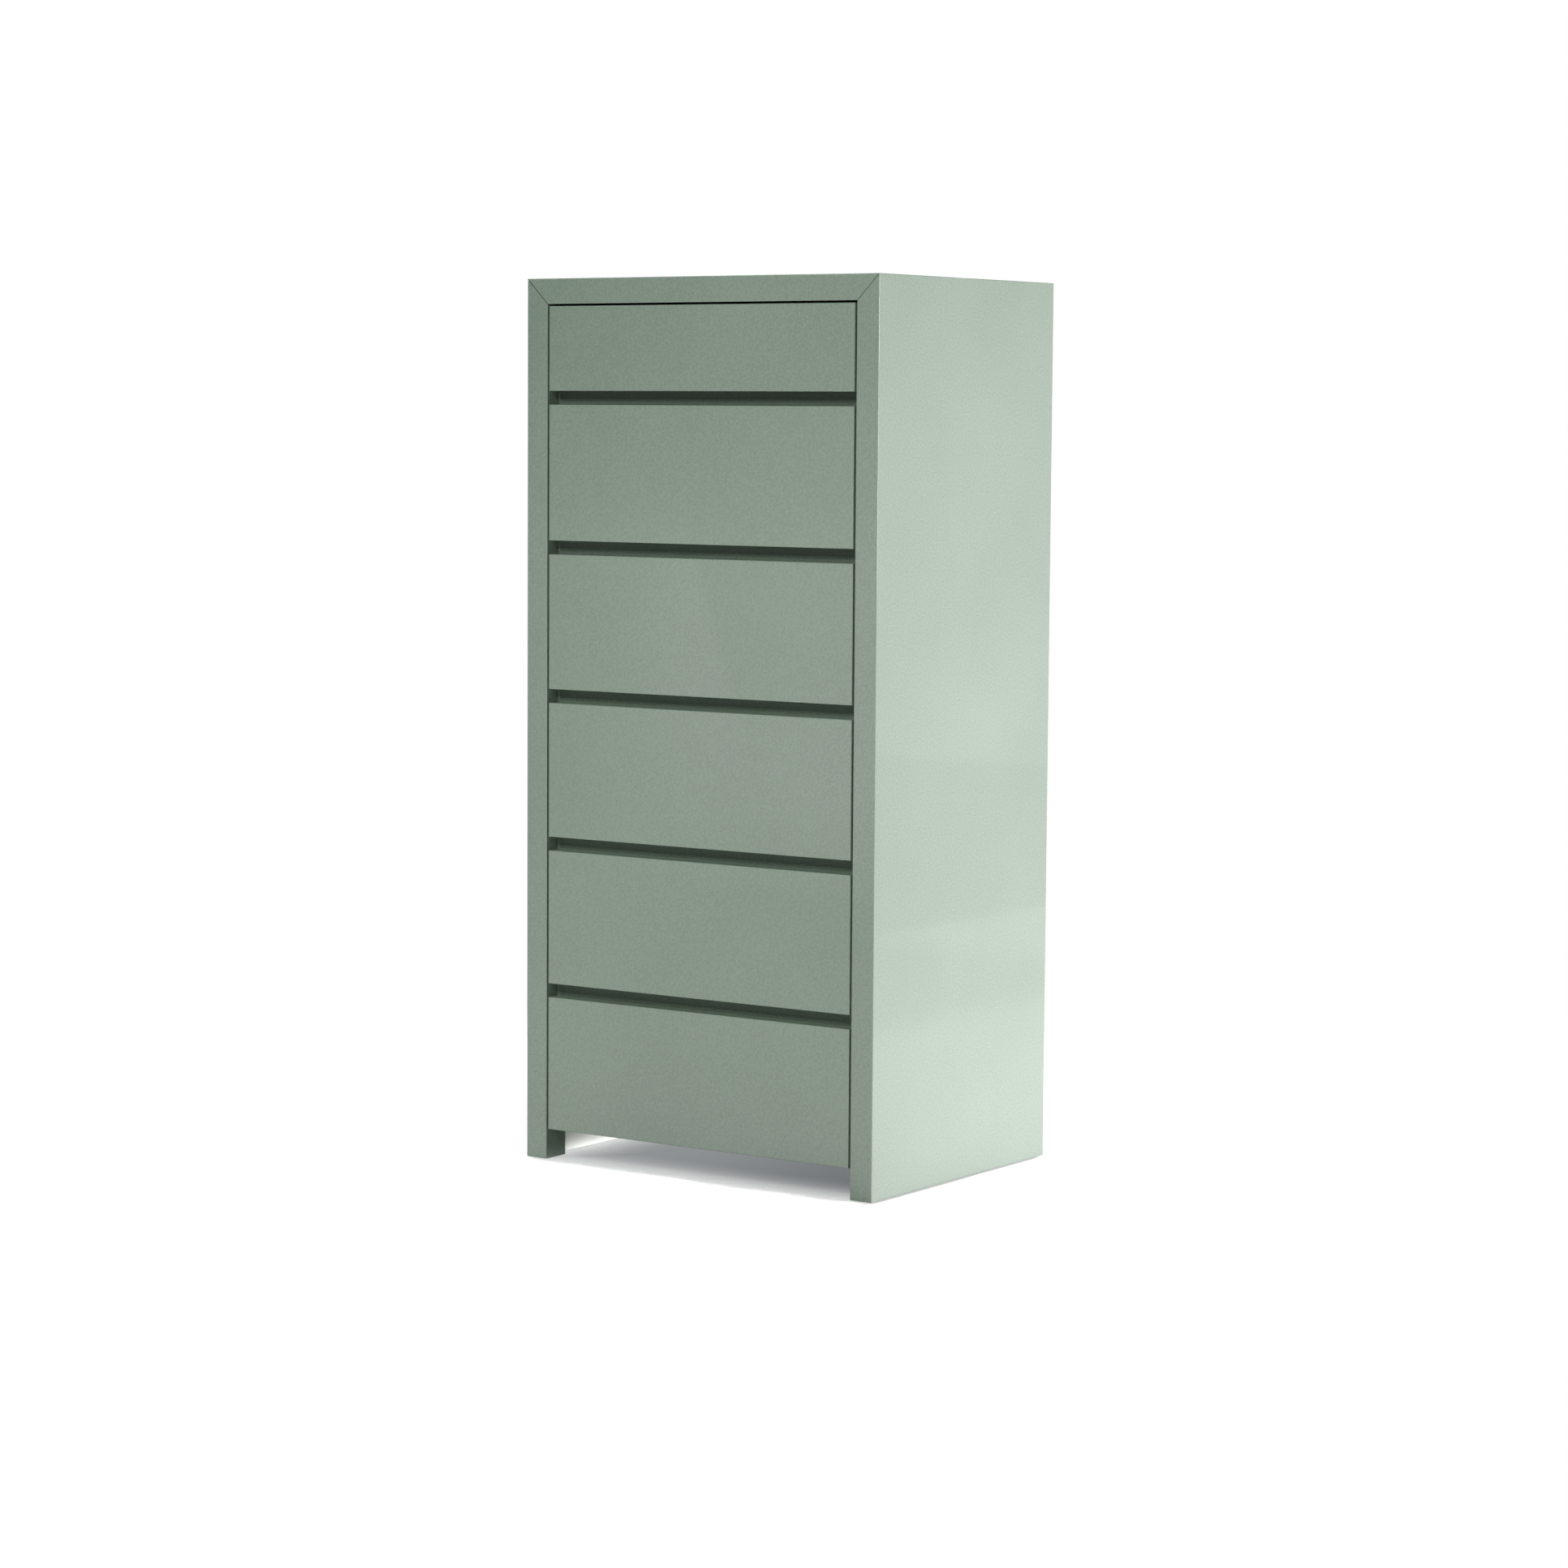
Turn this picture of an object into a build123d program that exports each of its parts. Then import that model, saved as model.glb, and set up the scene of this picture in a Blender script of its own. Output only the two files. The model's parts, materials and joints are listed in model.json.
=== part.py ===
from build123d import *
import os

# A tall chest of drawers. A mitred frame of thick lacquered boards holds six flush fronts without
# handles. Each gap between two fronts is a grip groove, closed at the back by a cross rail.
# Millimetres, +Z up, the front faces -Y, and the origin is on the floor under the middle.

# Frame
WIDTH = 600.0
DEPTH = 458.0
PANEL = 36.0              # thickness of the sides and of the top
FLOOR_GAP = 46.0          # floor to the lower edge of the lowest front
EDGE_EASE = 1.2           # rounding of the lacquered edges
MITRE_EASE = 0.8          # chamfer along the mitre seam
FOOT_DEPTH = 45.0         # front to back size of each foot
FOOT_SKIN = 18.0          # what is left of a side between its two feet

# Fronts
TALL_FRONT_COUNT = 5
TALL_FRONT = 193.5
SHORT_FRONT = 120.0
FRONT_THICKNESS = 22.0
GRIP_GROOVE = 19.5        # gap between two fronts
GRIP_BEVEL = 12.0         # finger bevel behind the lower edge of a front
REVEAL = 3.0              # gap between the fronts and the frame

# Inner boards of the frame
RAIL_THICKNESS = 18.0
RAIL_LAP = 10.0           # how far a rail, or the bottom panel, reaches up behind a front
RAIL_GAP = 1.0            # between the back of a front and the rails
BOTTOM_PANEL = 12.0
BACK_PANEL = 8.0
BACK_LAP = 12.0           # width of the rebate that takes the back panel

# Drawer boxes
BOARD = 15.0              # sides and back of a drawer box
BOARD_EASE = 1.0          # rounding of their upper edges
BOX_CLEARANCE = 3.0       # between a drawer box and the rails above and below it
BOX_BACK_GAP = 25.0       # between a drawer box and the back panel
DRAWER_BOTTOM = 8.0
BOTTOM_RISE = 10.0        # drawer bottom above the lower edge of its box
BOTTOM_GROOVE = 6.0       # how deep the drawer bottom goes into its grooves

# Telescopic runners, folded from sheet
RUNNER_HEIGHT = 45.0
RUNNER_SPACE = 13.0       # between a side panel and a drawer box
RUNNER_PLAY = 1.0         # between a cabinet member and the drawer box
RUNNER_SHEET = 1.2
RUNNER_LIP = 3.0
RUNNER_RISE = 40.0        # runner centre above the lower edge of the drawer box
RUNNER_SETBACK = 3.0      # front end of a runner behind the back of the front
RUNNING_GAP = 0.3         # between runner members that slide in each other

# Joinery and glides
FIT = 0.1                 # clearance of a piece in its hole or groove
DOWEL_SEAT = 15.0         # length of a dowel in each of the two boards
RAIL_DOWEL = 8.0          # diameter
RAIL_DOWEL_INSET = 9.0    # dowel axis from the upper and lower edge of a rail
BOTTOM_DOWEL = 6.0        # diameter
BOTTOM_DOWEL_COUNT = 3
BOTTOM_DOWEL_INSET = 20.0  # dowel axis from the front and back edge of the bottom panel
SPLINE_THICKNESS = 4.0
SPLINE_WIDTH = 16.0
SPLINE_INSET = 30.0       # ends of a spline from the front and the back
SCREW_DIAMETER = 3.5
SCREW_HEAD = 7.0          # diameter
SCREW_SOCKET = 3.0        # across the corners of the hexagon socket
SCREW_LENGTH = 25.0
SCREW_INSET = 60.0        # first and last screw from the ends of their row
SIDE_SCREW_COUNT = 6
END_SCREW_COUNT = 3       # along the upper and along the lower edge of the back panel
GLIDE_DIAMETER = 20.0
GLIDE_HEIGHT = 2.0
GLIDE_PIN = 4.0           # diameter
GLIDE_PIN_LENGTH = 14.0

# Levels, planes and lengths that follow from the sizes above
PITCH = TALL_FRONT + GRIP_GROOVE
DRAWER_COUNT = TALL_FRONT_COUNT + 1
HEIGHT = FLOOR_GAP + TALL_FRONT_COUNT * PITCH + SHORT_FRONT + REVEAL + PANEL
INNER_WIDTH = WIDTH - 2 * PANEL
INNER_TOP = HEIGHT - PANEL
FRONT_WIDTH = INNER_WIDTH - 2 * REVEAL
FRONT_Y = -DEPTH / 2
FRONT_BACK_Y = FRONT_Y + FRONT_THICKNESS
RAIL_Y = FRONT_BACK_Y + RAIL_GAP
RAIL_HEIGHT = GRIP_GROOVE + 2 * RAIL_LAP
BACK_PANEL_Y = DEPTH / 2 - BACK_PANEL
BOTTOM_PANEL_Z = FLOOR_GAP + RAIL_LAP - BOTTOM_PANEL
REBATE_WIDTH = INNER_WIDTH + 2 * BACK_LAP
REBATE_HEIGHT = INNER_TOP + BACK_LAP - BOTTOM_PANEL_Z
BOX_WIDTH = INNER_WIDTH - 2 * RUNNER_SPACE
BOX_LENGTH = BACK_PANEL_Y - BOX_BACK_GAP - FRONT_BACK_Y
BOX_INSIDE = BOX_WIDTH - 2 * BOARD
BOX_MARGIN = RAIL_LAP + BOX_CLEARANCE
RUNNER_Y = FRONT_BACK_Y + RUNNER_SETBACK
RUNNER_LENGTH = BOX_LENGTH - RUNNER_SETBACK
RUNNER_DEPTH = RUNNER_SPACE - RUNNER_PLAY

LEFT = -1
RIGHT = 1
SIDES = (LEFT, RIGHT)
FRONT_LOW = (Align.CENTER, Align.MIN, Align.MIN)
MIDDLE_LOW = (Align.CENTER, Align.CENTER, Align.MIN)


def front_bottom(number):
    """Height of a front's lower edge. Drawer 1 is the low one at the top."""
    return FLOOR_GAP + (DRAWER_COUNT - number) * PITCH


def front_height(number):
    return SHORT_FRONT if number == 1 else TALL_FRONT


def box_bottom(number):
    return front_bottom(number) + BOX_MARGIN


def box_height(number):
    return front_height(number) - 2 * BOX_MARGIN


def runner_level(number):
    return box_bottom(number) + RUNNER_RISE


def spread(low, high, count):
    """Evenly spaced places from low to high, ends included."""
    return [low + (high - low) * i / (count - 1) for i in range(count)]


def on_side(places, side):
    return [place for place in places if place[0] * side > 0]


def save(builder, name):
    builder.part.label = name
    export_step(builder.part, f"parts/{name}.step")


# Places of the dowels, splines, screws and glides, shared by the pieces that they join
RAIL_DOWEL_Y = RAIL_Y + RAIL_THICKNESS / 2
BOTTOM_DOWEL_Z = BOTTOM_PANEL_Z + BOTTOM_PANEL / 2
BOTTOM_DOWEL_YS = spread(RAIL_Y + BOTTOM_DOWEL_INSET, BACK_PANEL_Y - BOTTOM_DOWEL_INSET, BOTTOM_DOWEL_COUNT)
BOTTOM_DOWELS = [(side * INNER_WIDTH / 2, y, BOTTOM_DOWEL_Z) for side in SIDES for y in BOTTOM_DOWEL_YS]


def rail_dowels(number):
    """Two dowels at each end of the rail under one front."""
    top = front_bottom(number) + RAIL_LAP - RAIL_DOWEL_INSET
    low = front_bottom(number) + RAIL_LAP - RAIL_HEIGHT + RAIL_DOWEL_INSET
    return [(side * INNER_WIDTH / 2, RAIL_DOWEL_Y, z) for side in SIDES for z in (low, top)]


RAIL_DOWELS = [place for number in range(1, DRAWER_COUNT) for place in rail_dowels(number)]

SCREW_X = INNER_WIDTH / 2 + BACK_LAP / 2
SIDE_SCREW_ZS = spread(BOTTOM_PANEL_Z + SCREW_INSET, INNER_TOP - SCREW_INSET, SIDE_SCREW_COUNT)
END_SCREW_XS = spread(SCREW_INSET - INNER_WIDTH / 2, INNER_WIDTH / 2 - SCREW_INSET, END_SCREW_COUNT)
SIDE_SCREWS = [(side * SCREW_X, z) for side in SIDES for z in SIDE_SCREW_ZS]
TOP_SCREWS = [(x, INNER_TOP + BACK_LAP / 2) for x in END_SCREW_XS]
BOTTOM_SCREWS = [(x, BOTTOM_DOWEL_Z) for x in END_SCREW_XS]

GLIDES = [(x * (WIDTH - PANEL) / 2, y * (DEPTH - FOOT_DEPTH) / 2, 0) for x in SIDES for y in SIDES]


def dowel(places, diameter, clearance=0.0, mode=Mode.ADD):
    """Dowels across the seam between a side panel and a board, or with a clearance their holes."""
    with Locations(*places):
        Cylinder(diameter / 2 + clearance, 2 * (DOWEL_SEAT + clearance), rotation=(0, 90, 0), mode=mode)


def spline(side, clearance=0.0, mode=Mode.ADD):
    """The loose tongue across one mitre, or with a clearance its slot."""
    centre = (side * (WIDTH - PANEL) / 2, 0, HEIGHT - PANEL / 2)
    with BuildSketch(Plane(origin=centre, x_dir=(-side, 0, 1), z_dir=(0, 1, 0))) as section:
        Rectangle(SPLINE_WIDTH + 2 * clearance, SPLINE_THICKNESS + 2 * clearance)
    extrude(section.sketch, DEPTH / 2 - SPLINE_INSET + clearance, both=True, mode=mode)


def screw_places(places):
    """Locations on the back of the chest, looking out of it."""
    origins = [(x, DEPTH / 2, z) for x, z in places]
    return [Location(Plane(origin=origin, x_dir=(-1, 0, 0), z_dir=(0, 1, 0))) for origin in origins]


def screw_holes(places):
    """Pilot holes for the back panel's screws, in the board behind the panel."""
    with Locations(*screw_places(places)):
        Hole(SCREW_DIAMETER / 2 + FIT, SCREW_LENGTH + FIT)


def rebate():
    """The step in the rear edges that takes the back panel."""
    with Locations((0, BACK_PANEL_Y, BOTTOM_PANEL_Z)):
        Box(REBATE_WIDTH, BACK_PANEL, REBATE_HEIGHT, align=FRONT_LOW, mode=Mode.SUBTRACT)


def glide_pins(places, clearance=0.0, mode=Mode.ADD):
    height = GLIDE_HEIGHT + GLIDE_PIN_LENGTH + clearance
    with Locations(*places):
        Cylinder(GLIDE_PIN / 2 + clearance, height, align=MIDDLE_LOW, mode=mode)


# The frame: two sides and a top, mitred together

def board_along_depth(*corners):
    """A board with this outline in front view, from the front to the back of the chest."""
    with BuildSketch(Plane.XZ) as outline:
        with BuildLine():
            Polyline(*corners, close=True)
        make_face()
    extrude(outline.sketch, DEPTH / 2, both=True)


def ease_mitre(panel, side):
    mitre = panel.faces().filter_by(Axis((0, 0, 0), (-side, 0, 1))).sort_by(SortBy.AREA)[-1]
    chamfer(mitre.edges(), MITRE_EASE)


def side_panel(side, name):
    outer = side * WIDTH / 2
    inner = side * INNER_WIDTH / 2
    relief = (2 * (PANEL - FOOT_SKIN), DEPTH - 2 * FOOT_DEPTH, BOTTOM_PANEL_Z - GLIDE_HEIGHT)
    with BuildPart() as panel:
        board_along_depth((outer, GLIDE_HEIGHT), (outer, HEIGHT), (inner, INNER_TOP), (inner, GLIDE_HEIGHT))
        ease_mitre(panel, side)
        uprights = panel.edges().filter_by(Axis.Z).sort_by(Axis.Y)
        outer_back = uprights[2:].sort_by_distance((outer, DEPTH / 2, 0))[0]
        fillet(uprights[:2] + [outer_back], EDGE_EASE)
        rebate()
        with Locations((inner, 0, GLIDE_HEIGHT)):
            Box(*relief, align=MIDDLE_LOW, mode=Mode.SUBTRACT)
        fillet(panel.faces().sort_by(Axis.Z)[0].edges(), EDGE_EASE)
        dowel(on_side(RAIL_DOWELS, side), RAIL_DOWEL, FIT, Mode.SUBTRACT)
        dowel(on_side(BOTTOM_DOWELS, side), BOTTOM_DOWEL, FIT, Mode.SUBTRACT)
        spline(side, FIT, Mode.SUBTRACT)
        screw_holes(on_side(SIDE_SCREWS, side))
        glide_pins(on_side(GLIDES, side), FIT, Mode.SUBTRACT)
    save(panel, name)


def top_panel():
    with BuildPart() as panel:
        board_along_depth((-WIDTH / 2, HEIGHT), (WIDTH / 2, HEIGHT),
                          (INNER_WIDTH / 2, INNER_TOP), (-INNER_WIDTH / 2, INNER_TOP))
        for side in SIDES:
            ease_mitre(panel, side)
        long_edges = panel.edges().filter_by(Axis.X).sort_by(Axis.Y)
        upper_back = long_edges[2:].sort_by(Axis.Z)[-1]
        fillet(long_edges[:2] + [upper_back], EDGE_EASE)
        rebate()
        for side in SIDES:
            spline(side, FIT, Mode.SUBTRACT)
        screw_holes(TOP_SCREWS)
    save(panel, "top_panel")


# Inner boards: rails behind the grip grooves, the bottom and the back

def cross_rail(number):
    """The rail behind the groove under one front."""
    with BuildPart() as rail:
        with Locations((0, RAIL_Y, front_bottom(number) + RAIL_LAP - RAIL_HEIGHT)):
            Box(INNER_WIDTH, RAIL_THICKNESS, RAIL_HEIGHT, align=FRONT_LOW)
        dowel(rail_dowels(number), RAIL_DOWEL, FIT, Mode.SUBTRACT)
    save(rail, f"cross_rail_{number}")


def bottom_panel():
    with BuildPart() as panel:
        with Locations((0, RAIL_Y, BOTTOM_PANEL_Z)):
            Box(INNER_WIDTH, BACK_PANEL_Y - RAIL_Y, BOTTOM_PANEL, align=FRONT_LOW)
        dowel(BOTTOM_DOWELS, BOTTOM_DOWEL, FIT, Mode.SUBTRACT)
        screw_holes(BOTTOM_SCREWS)
    save(panel, "bottom_panel")


def back_panel():
    with BuildPart() as panel:
        with Locations((0, BACK_PANEL_Y, BOTTOM_PANEL_Z)):
            Box(REBATE_WIDTH - 2 * FIT, BACK_PANEL, REBATE_HEIGHT - FIT, align=FRONT_LOW)
        with Locations(*screw_places(SIDE_SCREWS + TOP_SCREWS + BOTTOM_SCREWS)):
            CounterSinkHole(SCREW_DIAMETER / 2 + FIT, SCREW_HEAD / 2 + FIT, counter_sink_angle=90)
    save(panel, "back_panel")


# Fasteners and glides

def back_panel_screws():
    """Countersunk screws with a head of 90 degrees and a hexagon socket."""
    head_height = (SCREW_HEAD - SCREW_DIAMETER) / 2
    with BuildPart() as screw:
        with BuildSketch(Plane.XZ):
            with BuildLine():
                Polyline((0, 0), (SCREW_HEAD / 2, 0), (SCREW_DIAMETER / 2, -head_height),
                         (SCREW_DIAMETER / 2, -SCREW_LENGTH), (0, -SCREW_LENGTH), close=True)
            make_face()
        revolve(axis=Axis.Z)
        with BuildSketch():
            RegularPolygon(SCREW_SOCKET / 2, 6)
        extrude(amount=-head_height, mode=Mode.SUBTRACT)
    with BuildPart() as screws:
        with Locations(*screw_places(SIDE_SCREWS + TOP_SCREWS + BOTTOM_SCREWS)):
            add(screw.part)
    save(screws, "back_panel_screws")


def carcass_dowels():
    with BuildPart() as dowels:
        dowel(RAIL_DOWELS, RAIL_DOWEL)
        dowel(BOTTOM_DOWELS, BOTTOM_DOWEL)
    save(dowels, "carcass_dowels")


def mitre_splines():
    with BuildPart() as splines:
        for side in SIDES:
            spline(side)
    save(splines, "mitre_splines")


def floor_glides():
    with BuildPart() as glides:
        glide_pins(GLIDES)
        with Locations(*GLIDES):
            Cylinder(GLIDE_DIAMETER / 2, GLIDE_HEIGHT, align=MIDDLE_LOW)
    save(glides, "floor_glides")


# Runners. Each profile is drawn outwards from the inner face of a side panel.

def runner_plane(side, number):
    origin = (side * INNER_WIDTH / 2, RUNNER_Y, runner_level(number))
    return Plane(origin=origin, x_dir=(-side, 0, 0), z_dir=(0, 1, 0))


def strip(near, far, height, mode=Mode.ADD):
    """A rectangle from one distance off the side panel to another, centred on the runner's height."""
    with Locations(((near + far) / 2, 0)):
        Rectangle(far - near, height, mode=mode)


def channel(near, far, height):
    """A folded C with its web near the side panel and two lips round its mouth."""
    inside = height - 2 * RUNNER_SHEET
    strip(near, far, height)
    strip(near + RUNNER_SHEET, far - RUNNER_SHEET, inside, Mode.SUBTRACT)
    strip(far - RUNNER_SHEET, far, inside - 2 * RUNNER_LIP, Mode.SUBTRACT)


STEP = RUNNER_SHEET + RUNNING_GAP
MIDDLE_HEIGHT = RUNNER_HEIGHT - 2 * STEP
BRIM_HEIGHT = MIDDLE_HEIGHT - 2 * STEP
HAT_HEIGHT = MIDDLE_HEIGHT - 2 * (STEP + RUNNER_LIP)


def cabinet_member():
    channel(0, RUNNER_DEPTH, RUNNER_HEIGHT)


def middle_member():
    channel(STEP, RUNNER_DEPTH - STEP, MIDDLE_HEIGHT)


def drawer_member():
    """A hat that holds the drawer box by its crown and runs in the middle member by its brim."""
    brim = 2 * STEP
    strip(brim, brim + RUNNER_SHEET, BRIM_HEIGHT)
    strip(brim, RUNNER_SPACE, HAT_HEIGHT)
    strip(brim, RUNNER_SPACE - RUNNER_SHEET, HAT_HEIGHT - 2 * RUNNER_SHEET, Mode.SUBTRACT)


def runner_members(profile, places, name):
    with BuildPart() as members:
        for side, number in places:
            with BuildSketch(runner_plane(side, number)):
                profile()
            extrude(amount=RUNNER_LENGTH)
    save(members, name)


# Drawers

def bottom_groove(number, width):
    """The slot round a drawer box that takes its bottom board."""
    length = BOX_LENGTH + BOTTOM_GROOVE
    with Locations((0, FRONT_BACK_Y - BOTTOM_GROOVE, box_bottom(number) + BOTTOM_RISE)):
        Box(width, length, DRAWER_BOTTOM + FIT, align=FRONT_LOW, mode=Mode.SUBTRACT)


def drawer_front(number):
    with BuildPart() as front:
        with Locations((0, FRONT_Y, front_bottom(number))):
            Box(FRONT_WIDTH, FRONT_THICKNESS, front_height(number), align=FRONT_LOW)
        grip_edge = front.faces().sort_by(Axis.Y)[-1].edges().sort_by(Axis.Z)[0]
        chamfer(grip_edge, GRIP_BEVEL)
        fillet(front.faces().sort_by(Axis.Y)[0].edges(), EDGE_EASE)
        bottom_groove(number, BOX_INSIDE + 2 * BOTTOM_GROOVE)
    save(front, f"drawer_{number}_front")


def drawer_side(number, side, name):
    centre = side * (BOX_WIDTH - BOARD) / 2
    with BuildPart() as board:
        with Locations((centre, FRONT_BACK_Y, box_bottom(number))):
            Box(BOARD, BOX_LENGTH, box_height(number), align=FRONT_LOW)
        upper_edges = board.faces().sort_by(Axis.Z)[-1].edges().filter_by(Axis.Y)
        fillet(upper_edges, BOARD_EASE)
        bottom_groove(number, BOX_INSIDE + 2 * BOTTOM_GROOVE)
    save(board, name)


def drawer_back(number):
    """The back stands on the bottom board, between the sides."""
    foot = BOTTOM_RISE + DRAWER_BOTTOM
    with BuildPart() as board:
        with Locations((0, FRONT_BACK_Y + BOX_LENGTH - BOARD, box_bottom(number) + foot)):
            Box(BOX_INSIDE, BOARD, box_height(number) - foot, align=FRONT_LOW)
        upper_edges = board.faces().sort_by(Axis.Z)[-1].edges().filter_by(Axis.X)
        fillet(upper_edges, BOARD_EASE)
    save(board, f"drawer_{number}_back")


def drawer_bottom(number):
    tongue = BOTTOM_GROOVE - FIT
    with BuildPart() as board:
        with Locations((0, FRONT_BACK_Y - tongue, box_bottom(number) + BOTTOM_RISE)):
            Box(BOX_INSIDE + 2 * tongue, BOX_LENGTH + tongue, DRAWER_BOTTOM, align=FRONT_LOW)
    save(board, f"drawer_{number}_bottom")


def drawer(number):
    both_sides = [(side, number) for side in SIDES]
    drawer_front(number)
    drawer_side(number, LEFT, f"drawer_{number}_left_side")
    drawer_side(number, RIGHT, f"drawer_{number}_right_side")
    drawer_back(number)
    drawer_bottom(number)
    runner_members(drawer_member, both_sides, f"drawer_{number}_runners")
    runner_members(middle_member, both_sides, f"drawer_{number}_middle_runners")


os.makedirs("parts", exist_ok=True)
NUMBERS = range(1, DRAWER_COUNT + 1)

side_panel(LEFT, "left_side_panel")
side_panel(RIGHT, "right_side_panel")
top_panel()
bottom_panel()
back_panel()
for number in range(1, DRAWER_COUNT):
    cross_rail(number)
carcass_dowels()
mitre_splines()
back_panel_screws()
floor_glides()
runner_members(cabinet_member, [(LEFT, number) for number in NUMBERS], "left_cabinet_runners")
runner_members(cabinet_member, [(RIGHT, number) for number in NUMBERS], "right_cabinet_runners")
for number in NUMBERS:
    drawer(number)

print(f"chest {WIDTH:.0f} x {DEPTH:.0f} x {HEIGHT:.0f} mm, runners {RUNNER_LENGTH:.0f} mm long")
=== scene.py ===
# %% [markdown]
# # A tall lacquered chest of drawers
#
# The chest is already built. Every board, runner and screw comes in as a fixed frame, in metres, with the
# front facing -Y and the floor at Z = 0. This lesson gives each surface its finish, adds the small
# fittings that are only looks, and sets up a plain studio with the camera where the photographer stood.

import json
import math

import bmesh
import bpy
import numpy as np
from mathutils import Matrix, Vector


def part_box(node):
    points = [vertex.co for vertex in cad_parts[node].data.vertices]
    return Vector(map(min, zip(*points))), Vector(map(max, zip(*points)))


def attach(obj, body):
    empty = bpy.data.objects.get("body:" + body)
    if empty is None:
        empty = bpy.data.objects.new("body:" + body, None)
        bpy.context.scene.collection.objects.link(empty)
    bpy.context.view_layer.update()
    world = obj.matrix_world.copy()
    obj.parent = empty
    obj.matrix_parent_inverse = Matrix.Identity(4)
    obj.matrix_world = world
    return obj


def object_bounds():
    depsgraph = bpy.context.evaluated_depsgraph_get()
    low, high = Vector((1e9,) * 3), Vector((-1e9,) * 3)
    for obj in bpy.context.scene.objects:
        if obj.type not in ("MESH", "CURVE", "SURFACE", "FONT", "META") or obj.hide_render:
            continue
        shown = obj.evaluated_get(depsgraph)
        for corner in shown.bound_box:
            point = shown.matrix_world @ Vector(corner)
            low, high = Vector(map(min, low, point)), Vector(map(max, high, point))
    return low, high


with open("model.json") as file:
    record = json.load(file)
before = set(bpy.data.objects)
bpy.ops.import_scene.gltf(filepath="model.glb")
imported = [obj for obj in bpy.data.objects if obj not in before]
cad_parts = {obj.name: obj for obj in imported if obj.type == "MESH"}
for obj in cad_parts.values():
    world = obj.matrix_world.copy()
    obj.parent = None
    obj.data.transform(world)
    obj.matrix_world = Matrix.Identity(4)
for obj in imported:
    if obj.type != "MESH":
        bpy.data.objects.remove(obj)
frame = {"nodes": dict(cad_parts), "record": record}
cad_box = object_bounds()
nodes = frame["nodes"]

# %% [markdown]
# ## Shader maths as Python
#
# A material is a graph of nodes, and drawing a graph in code is wordy. Two small classes carry it. `Net`
# adds any node from its type, its settings and its inputs. `Wire` is one output of a node: wires add,
# subtract and multiply like numbers, and each sign adds the Math node that it stands for.

# %% Wires
class Wire:
    """One output of a node. Arithmetic on it adds Math nodes to the same net."""

    def __init__(self, net, node, output=0):
        self.net = net
        self.node = node
        self.socket = node.outputs[output]

    def out(self, output):
        return Wire(self.net, self.node, output)

    def __add__(self, other):
        return self.net.math("ADD", self, other)

    def __sub__(self, other):
        return self.net.math("SUBTRACT", self, other)

    def __rsub__(self, other):
        return self.net.math("SUBTRACT", other, self)

    def __mul__(self, other):
        return self.net.math("MULTIPLY", self, other)

    __radd__ = __add__
    __rmul__ = __mul__


print("wires add, subtract and multiply")


# %% Nets
class Net:
    """A node tree. Inputs are given by name, with _ for a space, or by number as i0, i1 and so on."""

    def __init__(self, tree):
        self.tree = tree
        self.tree.nodes.clear()

    def node(self, kind, settings=None, **inputs):
        node = self.tree.nodes.new("ShaderNode" + kind)
        for name, value in (settings or {}).items():
            setattr(node, name, value)
        for name, value in inputs.items():
            by_number = name[0] == "i" and name[1:].isdigit()
            self.plug(node.inputs[int(name[1:]) if by_number else name.replace("_", " ")], value)
        return Wire(self, node) if node.outputs else None

    def plug(self, socket, value):
        if isinstance(value, Wire):
            self.tree.links.new(value.socket, socket)
        elif socket.type == "RGBA":
            socket.default_value = (*value, 1.0)
        else:
            socket.default_value = value

    def math(self, operation, first, second=0.0):
        return self.node("Math", {"operation": operation}, i0=first, i1=second)

    def step(self, value, low, high):
        """0 below low, 1 above high, and a smooth curve between them."""
        return self.node("MapRange", {"interpolation_type": "SMOOTHSTEP"},
                         Value=value, From_Min=low, From_Max=high)

    def mix(self, factor, first, second):
        """A colour between two colours."""
        return self.node("Mix", {"data_type": "RGBA"}, i0=factor, i6=first, i7=second).out(2)

    def place(self):
        """Object coordinates: metres in the frame of the chest."""
        return self.node("TexCoord").out("Object")

    def split(self, vector):
        """The three numbers of a vector."""
        parts = self.node("SeparateXYZ", Vector=vector)
        return [parts.out(axis) for axis in "XYZ"]

    def vector(self, operation, first, second=(0.0, 0.0, 0.0)):
        return self.node("VectorMath", {"operation": operation}, i0=first, i1=second)

    def stretch(self, vector, counts):
        """The same coordinates, counted more or less finely along each axis."""
        return self.vector("MULTIPLY", vector, counts)

    def noise(self, vector, scale=1.0, detail=2.0, roughness=0.5):
        return self.node("TexNoise", Vector=vector, Scale=scale, Detail=detail, Roughness=roughness)

    def bump(self, height, distance):
        return self.node("Bump", Height=height, Distance=distance)

    def finish(self, **inputs):
        self.node("OutputMaterial", Surface=self.node("BsdfPrincipled", **inputs))


print("a net adds any node by its type")


# %% New finishes and colours
def new_finish(name):
    material = bpy.data.materials.new(name)
    material.use_nodes = True
    return material, Net(material.node_tree)


def srgb(red, green, blue):
    """Linear values of a colour that a picture stores as 0 to 255."""
    share = np.array([red, green, blue]) / 255
    linear = np.where(share <= 0.04045, share / 12.92, ((share + 0.055) / 1.055) ** 2.4)
    return tuple(linear.tolist())


def darker(colour, share):
    return tuple(share * channel for channel in colour)


print("a middle grey of 128 is", round(srgb(128, 128, 128)[0], 3), "in linear light")

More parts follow.
